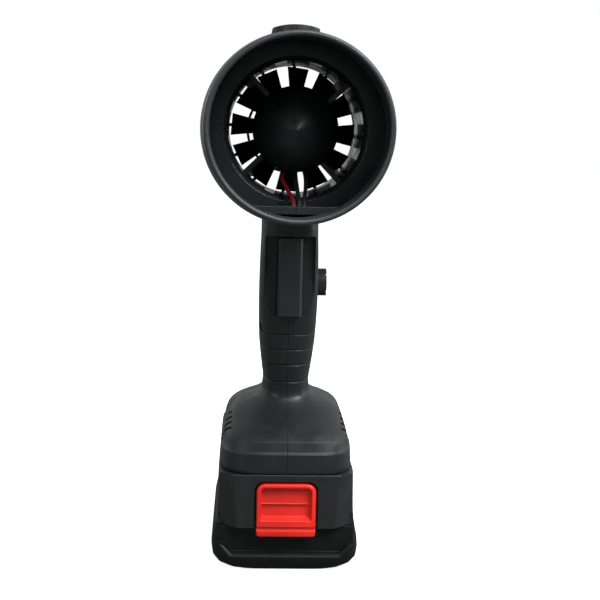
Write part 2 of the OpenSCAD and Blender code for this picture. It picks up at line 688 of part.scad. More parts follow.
module battery_lower_case() color(soft_black) one_mesh() difference() {
    union() {
        difference() {
            pack_solid(0, pack_parting);
            pack_hollow();
        }
        intersection() {
            pack_solid(0, pack_parting);
            union() {
                // Wall behind the finger recess, screw bosses and rear snaps
                span([-31, -22, 7], [31, -20, pack_parting]);
                span([-31, -27, 7], [31, -20, 9]);
                for (s = [-1, 1]) translate([s * 28.4, -17.5, 0]) cylinder(h = pack_parting, r = 3.2, $fn = 24);
            }
        }
    }
    // Finger recess below the latch, with slanting ends
    translate([0, -21.9, 0]) rotate([90, 0, 0]) linear_extrude(30) polygon([[-27, 9], [27, 9], [30.5, 12.6],
        [30.5, 14], [28.6, pack_parting + 1], [-28.6, pack_parting + 1], [-30.5, 14], [-30.5, 12.6]]);
    for (s = [-1, 1]) translate([s * 28.4, -17.5, 0]) {
        translate([0, 0, -1]) cylinder(h = 30, r = 1.6, $fn = 16);
        translate([0, 0, -1]) cylinder(h = 5, r = 3, $fn = 24);
    }
}

cell_pitch = 18.3;
cell_columns = [for (k = [0:4]) k * cell_pitch - 1.9];
cell_layers = [12, 30.3];
cell_half = 32.3;

module battery_cells() color("#4a7f9e") for (y = cell_columns, z = cell_layers) {
    cross_rod(-0.4, y, z, 2 * cell_half - 0.8, cell_r, $fn = 36);
    cross_rod(cell_half - 0.6, y, z, 1.2, 3, $fn = 24);
}

module cell_strips() color(steel) for (s = [-1, 1], z = cell_layers)
    span([s * (cell_half + 0.12) - 0.1, cell_columns[0] - 4, z - 3.4],
        [s * (cell_half + 0.12) + 0.1, cell_columns[4] + 4, z + 3.4]);

module battery_board() color("#1f4d33") span([-20, -6, 39.5], [20, 27, deck_under - 0.1]);

// Paired spring leaves, a little apart from each blade.
module battery_contacts() color(brass) for (x = blade_places) {
    for (s = [-1, 1]) span([min(x + s * 0.8, x + s * 1.2), 16, 43.7], [max(x + s * 0.8, x + s * 1.2), 27, 49.2]);
    span([x - 1.2, 15.2, 43.7], [x + 1.2, 16, 49.2]);
}

latch_low = 17;
latch_high = 45.4;
latch_face = -28.5;

module battery_latch() color(latch_red) difference() {
    union() {
        translate([0, pocket_y - 0.4, 0]) rotate([90, 0, 0]) linear_extrude(pocket_y - 0.4 - latch_face) polygon([
            [-latch_w / 2, latch_low], [latch_w / 2, latch_low], [latch_w / 2, latch_high - 3.4],
            [latch_w / 2 - 3.4, latch_high], [3.4 - latch_w / 2, latch_high], [-latch_w / 2, latch_high - 3.4]]);
        // Tongue that catches the foot, and lug over the spring
        span([-5, -24.4, latch_high - 2], [5, pocket_y - 0.4, foot_bottom + 1.3]);
        span([-5.8, pocket_y - 1, lug_low], [5.8, -11.8, lug_low + 2.4]);
    }
    // Dished face between a top and a bottom lip
    translate([0, latch_face - 7, 34]) rotate([0, 90, 0]) translate([0, 0, -latch_w / 2 + 2.4])
        cylinder(h = latch_w - 4.8, r = 9.2, $fn = 48);
    // Hollow back
    span([-latch_w / 2 + 1.6, -24, latch_low + 1.6], [latch_w / 2 - 1.6, -20, lug_low - 1.6]);
}

module latch_spring() color(steel) translate([0, -15.6, pack_parting + 1.7])
    coil_spring(lug_low - pack_parting - 1.8, 2.8, 0.35, 6);

module battery_screws() color(steel) for (s = [-1, 1]) translate([s * 28.4, -17.5, 0]) difference() {
    union() {
        translate([0, 0, 1.6]) cylinder(h = 2.4, r = 2.8, $fn = 28);
        translate([0, 0, 4]) cylinder(h = 26, r = 1.25, $fn = 20);
    }
    translate([0, 0, 1]) cylinder(h = 2, r = 1.2, $fn = 6);
}

left_shell();
right_shell();
nozzle_collar();
intake_grille();
fan_shroud();
tail_cone();
motor_base();
stator_core();
motor_windings();
front_bearing();
rear_bearing();
motor_screws();
motor_bell();
rotor_magnets();
motor_shaft();
shaft_collar();
fan_rotor();
rotor_nut();
spinner();
motor_wire_red();
motor_wire_black();
motor_wire_blue();
trigger();
trigger_spring();
switch_body();
switch_terminals();
lock_button();
lock_spring();
control_board();
power_transistors();
smoothing_capacitor();
heat_sink();
supply_wire_red();
supply_wire_black();
terminal_block();
terminal_blades();
shell_screws();
grille_screws();
battery_upper_case();
battery_lower_case();
battery_cells();
cell_strips();
battery_board();
battery_contacts();
battery_latch();
latch_spring();
battery_screws();
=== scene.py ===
"""Looks of the cordless car dryer blower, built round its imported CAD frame.

Blender works in metres. The helpers that make solids take millimetres and scale them by MM;
the lamps and the camera are placed in metres.
"""
import json
import math

import bmesh
import bpy
import numpy as np
from mathutils import Matrix, Vector


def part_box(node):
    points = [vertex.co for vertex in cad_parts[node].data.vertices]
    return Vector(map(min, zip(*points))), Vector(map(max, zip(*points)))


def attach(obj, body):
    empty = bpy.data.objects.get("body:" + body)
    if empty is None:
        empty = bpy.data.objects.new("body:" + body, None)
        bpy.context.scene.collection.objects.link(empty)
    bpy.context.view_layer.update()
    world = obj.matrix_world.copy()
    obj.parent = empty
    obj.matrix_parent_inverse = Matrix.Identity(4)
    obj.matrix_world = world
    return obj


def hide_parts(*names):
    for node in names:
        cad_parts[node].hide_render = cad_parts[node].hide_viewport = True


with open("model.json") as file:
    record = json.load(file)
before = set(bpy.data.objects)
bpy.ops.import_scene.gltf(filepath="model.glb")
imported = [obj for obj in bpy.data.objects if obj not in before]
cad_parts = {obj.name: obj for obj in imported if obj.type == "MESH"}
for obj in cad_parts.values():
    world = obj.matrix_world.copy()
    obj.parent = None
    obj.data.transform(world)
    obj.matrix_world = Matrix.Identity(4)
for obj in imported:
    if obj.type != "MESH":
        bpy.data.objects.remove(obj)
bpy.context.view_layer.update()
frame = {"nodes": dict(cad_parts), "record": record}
NODES = frame["nodes"]
MM = 0.001


def middle(node):
    """The centre of a CAD node's box."""
    low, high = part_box(node)
    return (low + high) / 2


# Height of the duct's axis, in millimetres
AXIS = middle("motor_shaft").z / MM


# ---- materials ----


def new_material(name):
    """A node material with its node tree and its shader."""
    material = bpy.data.materials.new(name)
    material.use_nodes = True
    tree = material.node_tree
    shader = tree.nodes["Principled BSDF"]
    return material, tree, shader


def object_noise(tree, size, detail=2.0, stretch=(1, 1, 1)):
    """Noise with features of about size metres, fixed to the object."""
    place = tree.nodes.new("ShaderNodeTexCoord")
    scale = tree.nodes.new("ShaderNodeMapping")
    scale.inputs["Scale"].default_value = [s / size for s in stretch]
    noise = tree.nodes.new("ShaderNodeTexNoise")
    noise.inputs["Scale"].default_value = 1.0
    noise.inputs["Detail"].default_value = detail
    tree.links.new(place.outputs["Object"], scale.inputs["Vector"])
    tree.links.new(scale.outputs["Vector"], noise.inputs["Vector"])
    return noise.outputs["Fac"]


def remap(tree, value, low, high, start=0.35, end=0.65):
    """Maps a value between start and end to one between low and high."""
    node = tree.nodes.new("ShaderNodeMapRange")
    node.inputs["From Min"].default_value = start
    node.inputs["From Max"].default_value = end
    node.inputs["To Min"].default_value = low
    node.inputs["To Max"].default_value = high
    tree.links.new(value, node.inputs["Value"])
    return node.outputs["Result"]


def mix_colour(tree, factor, a, b):
    """Mixes two colours, given as numbers or as a link, by a factor."""
    node = tree.nodes.new("ShaderNodeMix")
    node.data_type = "RGBA"
    for socket, colour in ((node.inputs[6], a), (node.inputs[7], b)):
        if isinstance(colour, bpy.types.NodeSocket):
            tree.links.new(colour, socket)
        else:
            socket.default_value = (*colour, 1)
    tree.links.new(factor, node.inputs[0])
    return node.outputs[2]


def add_bump(tree, shader, layers, rounding=0.0):
    """Stacks bump layers, each (height, depth in metres), over edges rounded by some millimetres."""
    normal = None
    if rounding:
        edges = tree.nodes.new("ShaderNodeBevel")
        edges.samples = 6
        edges.inputs["Radius"].default_value = rounding * MM
        normal = edges.outputs["Normal"]
    for height, depth in layers:
        bump = tree.nodes.new("ShaderNodeBump")
        bump.inputs["Distance"].default_value = depth
        tree.links.new(height, bump.inputs["Height"])
        if normal:
            tree.links.new(normal, bump.inputs["Normal"])
        normal = bump.outputs["Normal"]
    tree.links.new(normal, shader.inputs["Normal"])


def shade(colour, factor):
    """A colour made lighter or darker."""
    return [min(1.0, c * factor) for c in colour]


def moulded(name, colour, rough, grain=0.5, depth=0.03, edge_wear_and_highlight=0.1, gloss=0.5, rounding=0.45):
    """Moulded plastic with a fine texture, uneven sheen, faint flow marks, and edges lightened partly as
    rubbed wear and partly as a painted edge highlight.

    grain and depth are the texture's size and depth, rounding is that of the edges, in millimetres.
    """
    material, tree, shader = new_material(name)
    flow = object_noise(tree, 28 * MM, 4, (1, 1, 0.4))
    tint = mix_colour(tree, remap(tree, flow, 0, 1), shade(colour, 0.86), shade(colour, 1.12))
    # Convex edges are lightened towards a colour 2.6 times brighter: partly rubbed wear, partly a painted
    # edge highlight
    edge = tree.nodes.new("ShaderNodeNewGeometry").outputs["Pointiness"]
    rubbed_and_lit_edges = remap(tree, edge, 0, edge_wear_and_highlight, 0.53, 0.62)
    tree.links.new(mix_colour(tree, rubbed_and_lit_edges, tint, shade(colour, 2.6)), shader.inputs["Base Color"])
    patches = object_noise(tree, 9 * MM, 5)
    tree.links.new(remap(tree, patches, rough - 0.06, rough + 0.08), shader.inputs["Roughness"])
    texture = object_noise(tree, grain * MM, 2)
    add_bump(tree, shader, [(patches, 0.04 * MM), (texture, depth * MM)], rounding)
    shader.inputs["Specular IOR Level"].default_value = gloss
    return material


def metal(name, colour, rough, brush=(1, 1, 12)):
    """Plated or bare metal with fine brush lines."""
    material, tree, shader = new_material(name)
    lines = object_noise(tree, 0.6 * MM, 3, brush)
    spots = object_noise(tree, 6 * MM, 4)
    tint = mix_colour(tree, remap(tree, spots, 0, 1), shade(colour, 0.82), shade(colour, 1.05))
    tree.links.new(tint, shader.inputs["Base Color"])
    tree.links.new(remap(tree, lines, rough - 0.08, rough + 0.12), shader.inputs["Roughness"])
    add_bump(tree, shader, [(lines, 0.01 * MM)])
    shader.inputs["Metallic"].default_value = 1.0
    return material


def board_finish(name, colour):
    """Solder mask with a faint grid of copper tracks under it."""
    material, tree, shader = new_material(name)
    tracks = object_noise(tree, 3 * MM, 1, (1, 3, 1))
    fill = remap(tree, tracks, 0, 1, 0.49, 0.51)
    tree.links.new(mix_colour(tree, fill, colour, shade(colour, 1.7)), shader.inputs["Base Color"])
    tree.links.new(remap(tree, tracks, 0.3, 0.42), shader.inputs["Roughness"])
    add_bump(tree, shader, [(tracks, 0.03 * MM)])
    return material


FINISHES = {
    "housing": moulded("moulded_housing", (0.0070, 0.0098, 0.0105), 0.44),
    "dark_plastic": moulded("moulded_dark", (0.0110, 0.0145, 0.0150), 0.42, 0.4, 0.02),
    # A lighter copy of the dark plastic for the nozzle collar, so that its lip looks lit: painted light
    "collar_plastic_painted_lit": moulded("moulded_collar_painted_lit", (0.0200, 0.0255, 0.0265), 0.44, 0.4, 0.02, rounding=1.3),
    "duct_plastic": moulded("glossy_duct", (0.0110, 0.0150, 0.0155), 0.26, 0.8, 0.008, 0.05),
    "button_plastic": moulded("lock_button_grey", (0.0150, 0.0180, 0.0190), 0.34, 0.5, 0.01),
    "pack_plastic": moulded("moulded_pack", (0.0075, 0.0090, 0.0095), 0.42, depth=0.035),
    # A darker, duller copy of the pack plastic for the battery's lower case: painted shade for its dim
    # lower front
    "pack_base_painted_shade": moulded("moulded_base_painted_shade", (0.0035, 0.0045, 0.0045), 0.50, depth=0.035, gloss=0.22),
    "latch_red": moulded("latch_red", (0.66, 0.018, 0.010), 0.38, 0.6, 0.014, 0.02),
    "steel": metal("plated_steel", (0.62, 0.63, 0.65), 0.32),
    "aluminium": metal("bare_aluminium", (0.70, 0.71, 0.72), 0.38),
    "brass": metal("brass", (0.78, 0.58, 0.25), 0.30),
    "copper": metal("enamelled_copper", (0.62, 0.24, 0.10), 0.28, (12, 1, 1)),
    "board": board_finish("solder_mask", (0.012, 0.085, 0.040)),
    "component_dark": moulded("component_epoxy", (0.016, 0.017, 0.018), 0.40, 0.3, 0.01),
    "cell_wrap": moulded("cell_sleeve", (0.05, 0.20, 0.33), 0.30, 2.0, 0.01, 0.05),
    "wire_red": moulded("wire_red", (0.13, 0.005, 0.007), 0.42, 0.3, 0.01, 0.02, rounding=0),
    "wire_black": moulded("wire_black", (0.006, 0.006, 0.007), 0.42, 0.3, 0.01, 0.02, rounding=0),
    "wire_blue": moulded("wire_blue", (0.006, 0.009, 0.016), 0.42, 0.3, 0.01, 0.02, rounding=0),
}
NODE_SLOT = {row["node"]: row["material_slot"] for row in frame["record"]["subparts"]}


def dress(piece, slot):
    """Gives a piece its finish, with smooth shading."""
    piece.data.materials.clear()
    piece.data.materials.append(FINISHES[slot])
    for polygon in piece.data.polygons:
        polygon.use_smooth = True
    piece.data.set_sharp_from_angle(angle=math.radians(32))


for node_name, node_object in NODES.items():
    dress(node_object, NODE_SLOT[node_name])

# ---- solids ----


def solid(name, points, faces):
    """A mesh object from points and faces, with its normals facing out."""
    mesh = bpy.data.meshes.new(name)
    mesh.from_pydata([tuple(p) for p in points], [], faces)
    shape = bmesh.new()
    shape.from_mesh(mesh)
    bmesh.ops.remove_doubles(shape, verts=shape.verts, dist=0.001 * MM)
    bmesh.ops.recalc_face_normals(shape, faces=shape.faces)
    shape.to_mesh(mesh)
    shape.free()
    piece = bpy.data.objects.new(name, mesh)
    bpy.context.scene.collection.objects.link(piece)
    return piece


def skin(name, rings, closed=False):
    """A solid over rings of equally many points; closed joins the last ring to the first."""
    count, total = len(rings[0]), len(rings)
    faces = []
    for j in range(total if closed else total - 1):
        for i in range(count):
            a, b = j * count + i, j * count + (i + 1) % count
            c, d = (j + 1) % total * count + (i + 1) % count, (j + 1) % total * count + i
            faces.append((a, b, c, d))
    if not closed:
        faces += [tuple(range(count)), tuple(range((total - 1) * count, total * count))]
    return solid(name, [p for ring in rings for p in ring], faces)


def at_height(outline, z):
    """An (x, y) outline in millimetres as a level ring."""
    return [Vector((x, y, z)) * MM for x, y in outline]


def at_depth(outline, y):
    """An (x, z) outline in millimetres as an upright ring."""
    return [Vector((x, y, z)) * MM for x, z in outline]


def block(low, high):
    """A box between two corners, in millimetres."""
    (x0, y0, z0), (x1, y1, z1) = low, high
    base = [(x0, y0), (x1, y0), (x1, y1), (x0, y1)]
    return skin("block", [at_height(base, z) for z in (z0, z1)])


def side_block(side, inner, outer, y0, y1, z0, z1):
    """A box on one side of the middle, from inner to outer millimetres out."""
    return block((min(side * inner, side * outer), y0, z0), (max(side * inner, side * outer), y1, z1))


def angles(count):
    """Evenly spaced angles round a full turn."""
    return [math.tau * k / count for k in range(count)]


def rod(start, end, radius, sides=40):
    """A round bar between two points in millimetres."""
    start, end = Vector(start), Vector(end)
    turn = (end - start).to_track_quat("Z", "Y")
    circle = [Vector((math.cos(a), math.sin(a), 0)) for a in angles(sides)]
    return skin("rod", [[(turn @ (c * radius) + at) * MM for c in circle] for at in (start, end)])


def turned(name, outline, sides=144):
    """A closed outline of (radius, y) in millimetres, turned about the duct's axis."""
    rings = []
    for a in angles(sides):
        rings.append([Vector((r * math.sin(a), y, r * math.cos(a) + AXIS)) * MM for r, y in outline])
    return skin(name, rings, closed=True)


def arc(centre, radius, start, end, steps=5):
    """Points on an arc of an outline, from one angle in degrees to another."""
    sweep = [math.radians(start + (end - start) * k / steps) for k in range(steps + 1)]
    return [(centre[0] + radius * math.cos(a), centre[1] + radius * math.sin(a)) for a in sweep]


def duplicate(piece):
    """A copy of a piece with a mesh of its own."""
    twin = piece.copy()
    twin.data = piece.data.copy()
    bpy.context.scene.collection.objects.link(twin)
    return twin


def bake(piece):
    """Applies a piece's modifiers to its mesh."""
    graph = bpy.context.evaluated_depsgraph_get()
    mesh = bpy.data.meshes.new_from_object(piece.evaluated_get(graph))
    old = piece.data
    piece.modifiers.clear()
    piece.data = mesh
    bpy.data.meshes.remove(old)


def combine(piece, tools, operation="DIFFERENCE"):
    """Adds, cuts or intersects a piece with tool solids, which are used up."""
    for tool in tools:
        change = piece.modifiers.new("combine", "BOOLEAN")
        change.operation = operation
        change.solver = "MANIFOLD"
        change.object = tool
    bake(piece)
    for tool in tools:
        bpy.data.objects.remove(tool)


def finish_piece(piece, name, body, slot, *nodes):
    """Names a piece, gives it its finish, and hands it to the frame in place of CAD nodes."""
    piece.name = name
    dress(piece, slot)
    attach(piece, body)
    if nodes:
        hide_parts(*nodes)


# ---- housing ----

FOOT_BOTTOM = 50.9
# Levels of the foot and grip in millimetres: height, half width, front, rear, exponent
GRIP_LEVELS = [
    (FOOT_BOTTOM, 34.3, -26.4, 81.8, 5.2),
    (51.7, 34.5, -26.9, 82.2, 5.2),
    (57, 34.2, -27.2, 82.4, 5.2),
    (61.2, 33.9, -27.3, 82.2, 5.2),
    (62.2, 33.1, -26.2, 81.4, 5.2),
    (67, 32.2, -25, 79.4, 5),
    (69.5, 31.5, -21.8, 76.5, 4.8),
    (72, 30.6, -17.6, 71.5, 4.4),
    (75.5, 29, -11, 62, 3.8),
    (79, 26.2, -5.4, 53.5, 3.2),
    (81.6, 22.2, -1.6, 48, 2.8),
    (83.4, 17.4, 0.4, 45.8, 2.6),
    (84.8, 14.2, 0.9, 45.2, 2.6),
    (86.4, 12.8, 1.1, 44.9, 2.7),
    (92, 12.2, 0.4, 43.6, 2.7),
    (98, 12.9, -1, 42.4, 2.7),
    (106, 13.9, -2.8, 40.8, 2.7),
    (116, 14.8, -5, 38.6, 2.9),
    (126, 15.1, -7.6, 36.6, 3.4),
    (138, 15.2, -10, 34.8, 4.2),
    (150, 15.1, -12, 33.8, 4.4),
    (162, 14.8, -13.6, 33.6, 4.4),
    (172, 14.5, -14.6, 35, 4.2),
    (178, 14.6, -16, 38, 3.4),
    (184, 16.5, -20, 43, 3.6),
    (188, 18.5, -23, 47, 3.6),
]
# Radii about the duct's axis
BARREL_R = 45.0
BARREL_IN = 42.6
SLEEVE_R = 41.3
MOUTH_R = 40.0
SHROUD_R = 34.0
GRILLE_SCREW_R = 39.4
CROWN_R = 49.5
CROWN_HALF_WIDTH = 11.5
# The floor inside the nozzle, over the wires
FLOOR_TOP = AXIS - 35.2
FLOOR_UNDER = AXIS - 38.8
# The finger recess round the trigger
RECESS_FLOOR = -7.2
RECESS_LOW, RECESS_HIGH = 128.4, 170.0
SHELL_WALL = 2.4
# Half the gap between the shells
SEAM = 0.07
# Screws that close the shells: y, z, how far out from the middle the head sits
SCREW_PLACES = [(4, 121, 9.5), (19, 172, 9), (2, 60, 24), (74, 60, 24), (36, 97, 7)]
SCREW_PLACES += [(-20, AXIS + 45.2, 7), (20, AXIS + 45.2, 7)]
SCREW_HOLE, SCREW_POCKET = 1.6, 2.94
# Heights of the grip's grooves
GROOVES = (118.6, 110.4, 102.1, 92.7)


def smooth_levels(levels, step):
    """Levels every step millimetres on curves that never swing past the given ones."""
    data = np.array(levels, float)
    z, rows = data[:, 0], data[:, 1:]
    slope = np.diff(rows, axis=0) / np.diff(z)[:, None]
    tangent = np.zeros_like(rows)
    same_way = slope[:-1] * slope[1:] > 0
    tangent[1:-1][same_way] = (2 * slope[:-1] * slope[1:] / (slope[:-1] + slope[1:] + 1e-12))[same_way]
    tangent[0], tangent[-1] = slope[0], slope[-1]
    out = []
    for k in range(len(z) - 1):
        gap = z[k + 1] - z[k]
        for u in np.arange(0, 1, 1 / max(1, round(gap / step))):
            # Weights of a cubic through both ends with their tangents
            h0, h1 = 2 * u**3 - 3 * u**2 + 1, u**3 - 2 * u**2 + u
            h2, h3 = 3 * u**2 - 2 * u**3, u**3 - u**2
            row = h0 * rows[k] + h1 * gap * tangent[k] + h2 * rows[k + 1] + h3 * gap * tangent[k + 1]
            out.append((z[k] + u * gap, *row))
    out.append(tuple(data[-1]))
    return out


def level_ring(level, grow, count):
    """One level's superellipse as evenly spaced points in metres, from the front's middle round."""
    height, half, front, rear, power = level
    # A very fine ring first, then the points at even steps along it
    t = np.radians(np.linspace(-90, 270, 2401))
    x = (half + grow) * np.sign(np.cos(t)) * np.abs(np.cos(t)) ** (2 / power)
    depth = (rear - front) / 2 + grow
    y = (rear + front) / 2 + depth * np.sign(np.sin(t)) * np.abs(np.sin(t)) ** (2 / power)
    run = np.concatenate([[0], np.cumsum(np.hypot(np.diff(x), np.diff(y)))])
    even = np.linspace(0, run[-1], count, endpoint=False)
    return [Vector((a, b, height)) * MM for a, b in zip(np.interp(even, run, x), np.interp(even, run, y))]


def level_loft(name, levels, grow=0.0, count=120, step=2.0):
    """A solid through smooth level sections."""
    return skin(name, [level_ring(level, grow, count) for level in smooth_levels(levels, step)])


def level_at(levels, z):
    """The level at a height, between its neighbours."""
    data = np.array(levels, float)
    return (z, *[float(np.interp(z, data[:, 0], data[:, k])) for k in range(1, 5)])


def rounded_box_outline(half, low, high, r_low, r_high, steps=8):
    """An (x, z) outline of a box with rounded lower and upper corners."""
    corners = (
        (half - r_high, high - r_high, r_high, 0),
        (-half + r_high, high - r_high, r_high, 90),
        (-half + r_low, low + r_low, r_low, 180),
        (half - r_low, low + r_low, r_low, 270),
    )
    return [p for x, z, r, a in corners for p in arc((x, z), r, a, a + 90, steps)]


def crown_pad():
    """The rounded pad over the barrel's crown."""
    edge = CROWN_R - 0.6
    profile = [(0, -40), (edge, -40), (CROWN_R, -39.4), (CROWN_R, 39.4), (edge, 40), (0, 40)]
    disc = turned("crown", profile, 240)
    outline = []
    for side, start in ((1, 0), (-1, 180)):
        for x, y in arc((0, 0), 1, start, start + 180, 24):
            outline.append((CROWN_HALF_WIDTH * x, side * 20 + 10 * y))
    column = skin("column", [at_height(outline, z) for z in (AXIS + 30, AXIS + 60)])
    combine(disc, [column], "INTERSECT")
    return disc


def housing_skin():
    """The outside of both shells as one solid."""
    piece = level_loft("housing", GRIP_LEVELS)
    front = [(0, -70), (43.1, -70), (43.35, -69.7), (43.9, -63), (44.4, -55), (44.8, -48), (BARREL_R, -40)]
    back = [(BARREL_R, 32), (44.9, 38), (44.6, 43), (44.3, 45.7), (44, 46), (0, 46)]
    combine(piece, [turned("barrel", front + back, 240), crown_pad()], "UNION")
    return piece


def housing_hollow():
    """The space inside the shells."""
    hollow = level_loft("hollow", GRIP_LEVELS, -SHELL_WALL)
    walls = [
        block((-99, -99, 0), (99, 199, FOOT_BOTTOM + SHELL_WALL)),
        block((-30, -60, RECESS_LOW - 3), (30, RECESS_FLOOR + SHELL_WALL, RECESS_HIGH + 3)),
        block((-40, -60, 175), (40, -12, 200)),
    ]
    combine(hollow, walls)
    step = [(0, -71), (SLEEVE_R, -71), (SLEEVE_R, -61.8), (BARREL_IN, -57), (BARREL_IN, 47), (0, 47)]
    combine(hollow, [turned("bore", step, 192)], "UNION")
    return hollow


def housing_ribs():
    """Ribs, the nozzle's floor, screw pillars and board posts."""
    low, high = SHROUD_R + 0.1, BARREL_IN + 0.6
    piece = turned("ribs", [(low, -42.8), (high, -42.8), (high, -40.6), (low, -40.6)], 128)
    others = [turned("ribs", [(low, 6), (high, 6), (high, 8.2), (low, 8.2)], 128)]
    shelf = block((-40, -61.5, FLOOR_UNDER), (40, -45.3, FLOOR_TOP))
    bound = turned("bound", [(0, -62), (high, -62), (high, -44), (0, -44)], 128)
    combine(shelf, [bound], "INTERSECT")
    others.append(shelf)
    others += [rod((-70, y, h), (70, y, h), 3.5) for y, h, _ in SCREW_PLACES]
    others += [rod((x, y, FOOT_BOTTOM + 1), (x, y, 59), 2.2) for x in (-19, 19) for y in (18, 57)]
    for k in range(4):
        a = math.radians(45 + 90 * k)
        x, h = GRILLE_SCREW_R * math.sin(a), AXIS + GRILLE_SCREW_R * math.cos(a)
        others.append(rod((x, 34, h), (x, 45.8, h), 3.4, 24))
    combine(piece, others, "UNION")
    wire_way = block((-8, -44, AXIS - 60), (8, 30, AXIS - SHROUD_R - 0.4))
    hole = rod((1.6, -54.7, FLOOR_UNDER - 1), (1.6, -54.7, FLOOR_TOP + 1), 2.9, 32)
    combine(piece, [wire_way, hole])
    return piece


def recess_cut():
    """The finger recess: a U with rounded lower corners and a flared rim."""
    inner = rounded_box_outline(12.7, RECESS_LOW, RECESS_HIGH, 8.5, 1.2)
    outer = rounded_box_outline(13.5, RECESS_LOW - 0.8, RECESS_HIGH + 0.4, 9.2, 1.6)
    rings = [at_depth(inner, RECESS_FLOOR), at_depth(inner, RECESS_FLOOR - 1.6), at_depth(outer, -50)]
    return skin("recess", rings)


def groove_cuts():
    """Level grooves round the grip's front."""
    cuts = []
    for z in GROOVES:
        rings = []
        for height, depth in ((z - 0.6, 0.15), (z, -0.55), (z + 0.6, 0.15)):
            rings.append(level_ring(level_at(GRIP_LEVELS, height), depth, 96))
        core = skin("core", rings)
        cut = block((-30, -30, z - 0.58), (30, 20, z + 0.58))
        combine(cut, [core])
        cuts.append(cut)
    return cuts


def vent_cuts():
    """Slanted slots on the foot's shoulders, rising towards the front."""
    core = level_loft("core", GRIP_LEVELS, -0.9)
    cuts = []
    for side in (-1, 1):
        for k in range(5):
            cut = block((-10, -14.5, -0.7), (10, 14.5, 0.7))
            place = Matrix.Translation(Vector((side * 38.3, -1, 66.5 + 4 * k)) * MM)
            cut.data.transform(place @ Matrix.Rotation(math.radians(-25), 4, "X"))
            combine(cut, [duplicate(core)])
            cuts.append(cut)
    bpy.data.objects.remove(core)
    return cuts


def housing_cuts():
    """Everything cut through the finished shells."""
    cuts = [recess_cut(), block((-6.5, -60, RECESS_LOW + 0.6), (6.5, 0, RECESS_HIGH - 0.6))]
    cuts.append(rod((8, 12.4, 144.2), (30, 12.4, 144.2), 7.5, 48))
    cuts.append(block((-16.4, 29.6, 40), (16.4, 62.4, FOOT_BOTTOM + 4)))
    for y, z, out in SCREW_PLACES:
        cuts.append(rod((-out - 0.1, y, z), (out, y, z), SCREW_HOLE, 20))
        cuts.append(rod((-80, y, z), (-out + 0.2, y, z), SCREW_POCKET, 32))
    return cuts


def add_shells():
    """The two housing shells, with a fine gap along their seam."""
    skin_out = housing_skin()
    bound = duplicate(skin_out)
    combine(skin_out, [housing_hollow()])
    ribs = housing_ribs()
    combine(ribs, [bound], "INTERSECT")
    rails = []
    for side in (-1, 1):
        rails.append(side_block(side, 27.5, 30, -12, 70, 44, FOOT_BOTTOM + 1))
        rails.append(side_block(side, 24.2, 30, -12, 70, 44, 47.2))
    combine(skin_out, [ribs] + rails, "UNION")
    combine(skin_out, housing_cuts() + groove_cuts() + vent_cuts())
    other = duplicate(skin_out)
    combine(skin_out, [block((SEAM, -200, 0), (99, 200, 400))], "INTERSECT")
    combine(other, [block((-99, -200, 0), (-SEAM, 200, 400))], "INTERSECT")
    finish_piece(skin_out, "left_housing", "body", "housing", "left_shell")
    finish_piece(other, "right_housing", "body", "housing", "right_shell")


add_shells()


def add_collar():
    """The nozzle collar, its lip a rounded bead."""
    bead = arc((40.7, -85.7), 1.3, 0, -180, 12)
    inside = [(39.55, -84.6), (MOUTH_R, -83.4), (MOUTH_R, -62), (41.2, -62), (41.2, -70.2), (43.2, -70.2)]
    piece = turned("collar", bead + inside, 240)
    finish_piece(piece, "collar", "body", "dark_plastic", "nozzle_collar")
    # The collar takes the lighter copy of the dark plastic: painted light on the lip
    piece.data.materials[0] = FINISHES["collar_plastic_painted_lit"]


add_collar()

# ---- battery ----

PACK_TOP = 50.6
PACK_WALL = 1.8
# The line between the two cases, and the floor of the latch's pocket
PARTING = 22.8
POCKET_Y = -21.9
# Front screws of the battery: how far out, and y
PACK_SCREW_X, PACK_SCREW_Y = 28.4, -17.5
# Levels of the battery in millimetres: height, half width, front, rear, exponent
PACK_LEVELS = [
    (0, 28.5, -22.6, 82.6, 7),
    (1.2, 31.6, -24.6, 84.6, 8),
    (3.6, 35.2, -26.2, 86.2, 10),
    (7, 37.3, -27, 87, 12),
    (11, 37.9, -27, 87, 12),
    (15, 37.6, -27, 87, 12),
    (19, 36.8, -27, 87, 12),
    (PARTING, 36.1, -27, 87, 12),
    (29, 35.3, -27, 87, 12),
    (38, 35, -27, 87, 12),
    (50.35, 34.7, -27, 87, 12),
    (PACK_TOP, 34.5, -26.8, 86.8, 12),
]


def screw_rod(side, low, high, radius, sides=32):
    """An upright bar at one of the battery's front screws."""
    x, y = side * PACK_SCREW_X, PACK_SCREW_Y
    return rod((x, y, low), (x, y, high), radius, sides)


def pack_shape(low, high, grow=0.0):
    """The battery's outside between two heights."""
    piece = level_loft("pack", PACK_LEVELS, grow, 144, 3.0)
    combine(piece, [block((-60, -60, low), (60, 120, high))], "INTERSECT")
    return piece


def corner_cut(side, inset=0.0):
    """A cut that bevels one front corner of the upper case, more so towards its foot."""
    rings = []
    for z, edge, wall, rear in ((PARTING - 1, 24.4, 36.6, -16.8), (PACK_TOP + 1, 26.9, 35.4, -20.6)):
        line = [(edge, -27.01), (wall, rear), (60, rear), (60, -40), (edge, -40)]
        rings.append(at_height([(side * (x - inset), y + inset) for x, y in line], z))
    return skin("corner", rings)


def corner_pad(side):
    """The raised triangular pad at the foot of a bevelled corner."""
    line = [(32.8, PARTING + 0.1), (38, PARTING + 0.1), (38, 32.4), (35.4, 31.6)]
    line = [(side * x, z) for x, z in line]
    pad = skin("pad", [at_depth(line, y) for y in (-12, -20.1)])
    combine(pad, [pack_shape(PARTING + 0.1, 40)], "INTERSECT")
    return pad


